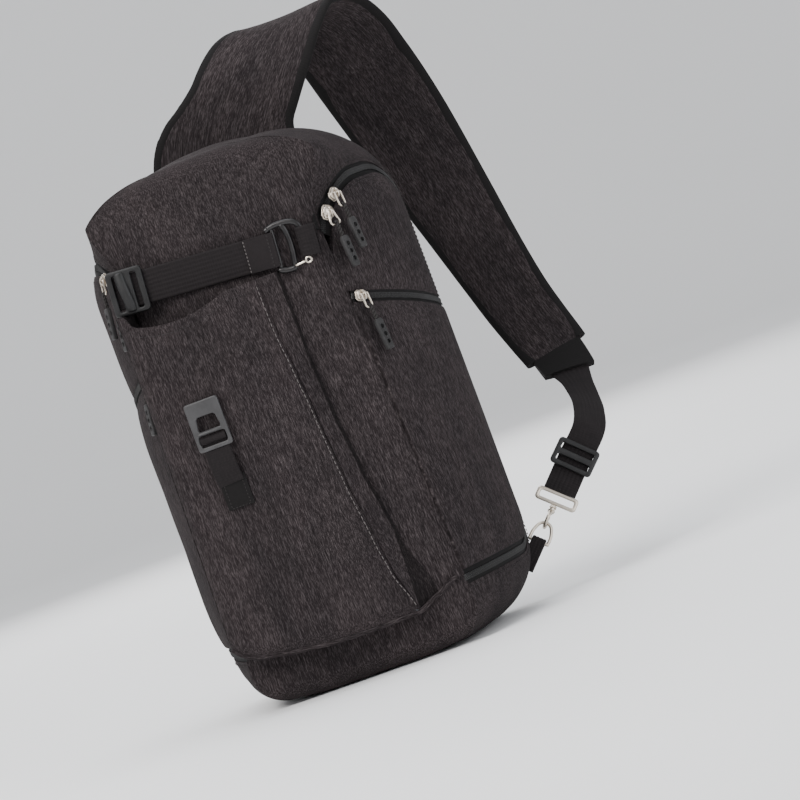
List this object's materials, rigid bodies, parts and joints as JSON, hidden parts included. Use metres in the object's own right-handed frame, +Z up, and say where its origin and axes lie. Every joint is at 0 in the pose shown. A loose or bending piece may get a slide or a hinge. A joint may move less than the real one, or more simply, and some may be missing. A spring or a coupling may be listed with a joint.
{
  "type": "sling camera bag",
  "caption": "Padded sling camera bag with a zipped side-access door on each side, an open front bellows pocket, a hooked cross strap and one wide shoulder strap.",
  "frame": {"origin": "middle of the flat base, under the middle of the bag", "axes": "+Z up along the bag, -Y out of the front with the pocket, +X to the right as seen from the front, +Y towards the wearer"},
  "size_m": [0.33, 0.3244, 0.4901],
  "materials": {
    "cloth": "dark grey slub twill, padded",
    "mesh": "black spacer mesh",
    "lining": "brushed grey lining over foam",
    "board": "matte sheet",
    "zip_tape": "black woven tape and coil",
    "nickel": "warm polished nickel",
    "rubber": "satin moulded rubber",
    "webbing": "ribbed black webbing",
    "black_plastic": "satin black",
    "grey_plastic": "satin light grey",
    "gunmetal": "satin gunmetal"
  },
  "bodies": {
    "bag": {"front_panel": "cloth", "back_panel": "mesh", "top_gusset": "cloth", "bottom_gusset": "cloth", "back_stiffener": "board", "base_board": "board", "divider_lower": "lining", "divider_upper": "lining", "back_pad_right": "mesh", "back_pad_left": "mesh", "frame_zip_tape_right": "zip_tape", "frame_zip_tape_left": "zip_tape", "pocket_panel": "cloth", "pocket_gusset_right": "cloth", "pocket_gusset_left": "cloth", "pocket_floor": "cloth", "hook_anchor": "webbing", "adjuster_tab": "webbing", "keeper_webbing": "webbing", "shoulder_yoke": "cloth", "shoulder_pad": "cloth", "lower_webbing": "webbing", "swivel_eye": "nickel", "corner_tab_right": "webbing", "corner_tab_left": "webbing"},
    "front_strap": {"strap_adjuster": "black_plastic", "front_strap": "webbing", "strap_hook": "gunmetal", "hook_wire": "nickel"},
    "keeper_plate": {"keeper_plate": "grey_plastic"},
    "corner_ring": {"corner_ring": "nickel"},
    "snap_hook": {"snap_hook": "nickel"},
    "hook_gate": {"hook_gate": "nickel"},
    "strap_slide": {"strap_slide": "black_plastic"},
    "door_right": {"door_panel_right": "cloth", "door_zip_tape_right": "zip_tape", "door_pocket_right": "cloth", "pocket_zip_tape_right": "zip_tape"},
    "slider_door_lower_right": {"slider_door_lower_right": "nickel"},
    "pull_door_lower_right": {"pull_tab_door_lower_right": "nickel", "pull_grip_door_lower_right": "rubber"},
    "slider_door_upper_right": {"slider_door_upper_right": "nickel"},
    "pull_door_upper_right": {"pull_tab_door_upper_right": "nickel", "pull_grip_door_upper_right": "rubber"},
    "slider_pocket_right": {"slider_pocket_right": "nickel"},
    "pull_pocket_right": {"pull_tab_pocket_right": "nickel", "pull_grip_pocket_right": "rubber"},
    "door_left": {"door_panel_left": "cloth", "door_zip_tape_left": "zip_tape", "door_pocket_left": "cloth", "pocket_zip_tape_left": "zip_tape"},
    "slider_door_lower_left": {"slider_door_lower_left": "nickel"},
    "pull_door_lower_left": {"pull_tab_door_lower_left": "nickel", "pull_grip_door_lower_left": "rubber"},
    "slider_door_upper_left": {"slider_door_upper_left": "nickel"},
    "pull_door_upper_left": {"pull_tab_door_upper_left": "nickel", "pull_grip_door_upper_left": "rubber"},
    "slider_pocket_left": {"slider_pocket_left": "nickel"},
    "pull_pocket_left": {"pull_tab_pocket_left": "nickel", "pull_grip_pocket_left": "rubber"}
  },
  "joints": [
    {"name": "door_right_hinge", "type": "hinge", "parent": "bag", "child": "door_right", "pos_m": [0.08777, -0.0702, 0.06], "axis": [0.0421, -0.035, -0.9985], "range_deg": [0, 80]},
    {"name": "slider_door_lower_right_run", "type": "slide", "parent": "door_right", "child": "slider_door_lower_right", "axis": [0.4173, 0.4828, 0.7699], "range_m": [0, 0.004]},
    {"name": "pull_door_lower_right_swing", "type": "hinge", "parent": "slider_door_lower_right", "child": "pull_door_lower_right", "pos_m": [0.0868, -0.05738, 0.32852], "axis": [-0.5887, -0.8083, 0], "range_deg": [0, 120]},
    {"name": "slider_door_upper_right_run", "type": "hinge", "parent": "door_right", "child": "slider_door_upper_right", "pos_m": [0.07942, 0.00447, 0.2851], "axis": [-0.8587, 0.276, 0.4317], "range_deg": [0, 46.3]},
    {"name": "pull_door_upper_right_swing", "type": "hinge", "parent": "slider_door_upper_right", "child": "pull_door_upper_right", "pos_m": [0.09463, -0.04804, 0.33956], "axis": [-0.5429, -0.8398, 0], "range_deg": [0, 120]},
    {"name": "slider_pocket_right_run", "type": "hinge", "parent": "door_right", "child": "slider_pocket_right", "pos_m": [-0.12245, 0.08754, 0.22551], "axis": [0.0066, 0.2614, 0.9652], "range_deg": [0, 13.4]},
    {"name": "pull_pocket_right_swing", "type": "hinge", "parent": "slider_pocket_right", "child": "pull_pocket_right", "pos_m": [0.0892, -0.05926, 0.26313], "axis": [-0.5724, -0.82, 0], "range_deg": [0, 120]},
    {"name": "door_left_hinge", "type": "hinge", "parent": "bag", "child": "door_left", "pos_m": [-0.08777, -0.0702, 0.06], "axis": [0.0421, 0.035, 0.9985], "range_deg": [0, 25]},
    {"name": "slider_door_lower_left_run", "type": "slide", "parent": "door_left", "child": "slider_door_lower_left", "axis": [-0.4173, 0.4828, 0.7699], "range_m": [0, 0.004]},
    {"name": "pull_door_lower_left_swing", "type": "hinge", "parent": "slider_door_lower_left", "child": "pull_door_lower_left", "pos_m": [-0.0868, -0.05738, 0.32852], "axis": [-0.5887, 0.8083, 0], "range_deg": [0, 120]},
    {"name": "slider_door_upper_left_run", "type": "hinge", "parent": "door_left", "child": "slider_door_upper_left", "pos_m": [-0.07942, 0.00447, 0.2851], "axis": [-0.8587, -0.276, -0.4317], "range_deg": [0, 46.3]},
    {"name": "pull_door_upper_left_swing", "type": "hinge", "parent": "slider_door_upper_left", "child": "pull_door_upper_left", "pos_m": [-0.09463, -0.04804, 0.33956], "axis": [-0.5429, 0.8398, 0], "range_deg": [0, 120]},
    {"name": "slider_pocket_left_run", "type": "hinge", "parent": "door_left", "child": "slider_pocket_left", "pos_m": [0.12245, 0.08754, 0.22551], "axis": [0.0066, -0.2614, -0.9652], "range_deg": [0, 13.4]},
    {"name": "pull_pocket_left_swing", "type": "hinge", "parent": "slider_pocket_left", "child": "pull_pocket_left", "pos_m": [-0.0892, -0.05926, 0.26313], "axis": [-0.5724, 0.82, 0], "range_deg": [0, 120]},
    {"name": "front_strap_swing", "type": "hinge", "parent": "bag", "child": "front_strap", "pos_m": [-0.0694, -0.06792, 0.32513], "axis": [0, -1, 0], "range_deg": [0, 90]},
    {"name": "keeper_plate_flip", "type": "hinge", "parent": "bag", "child": "keeper_plate", "pos_m": [-0.045, -0.09957, 0.19761], "axis": [1, 0, 0], "range_deg": [0, 90]},
    {"name": "corner_ring_turn", "type": "hinge", "parent": "bag", "child": "corner_ring", "pos_m": [0.12472, 0.0624, 0.03971], "axis": [-0.7399, 0, 0.6727], "range_deg": [-3, 3]},
    {"name": "snap_hook_swivel", "type": "hinge", "parent": "bag", "child": "snap_hook", "pos_m": [0.13631, 0.07109, 0.05247], "axis": [0.6006, 0.4504, 0.6606], "range_deg": [-20, 20]},
    {"name": "hook_gate_press", "type": "hinge", "parent": "snap_hook", "child": "hook_gate", "pos_m": [0.13871, 0.07653, 0.0551], "axis": [-0.7399, 0, 0.6727], "range_deg": [0, 24], "stiffness_Nm_per_rad": 0.002, "springref_deg": -11.46},
    {"name": "strap_slide_run", "type": "slide", "parent": "bag", "child": "strap_slide", "axis": [-0.6006, -0.4504, -0.6606], "range_m": [-0.006, 0.012]}
  ]
}
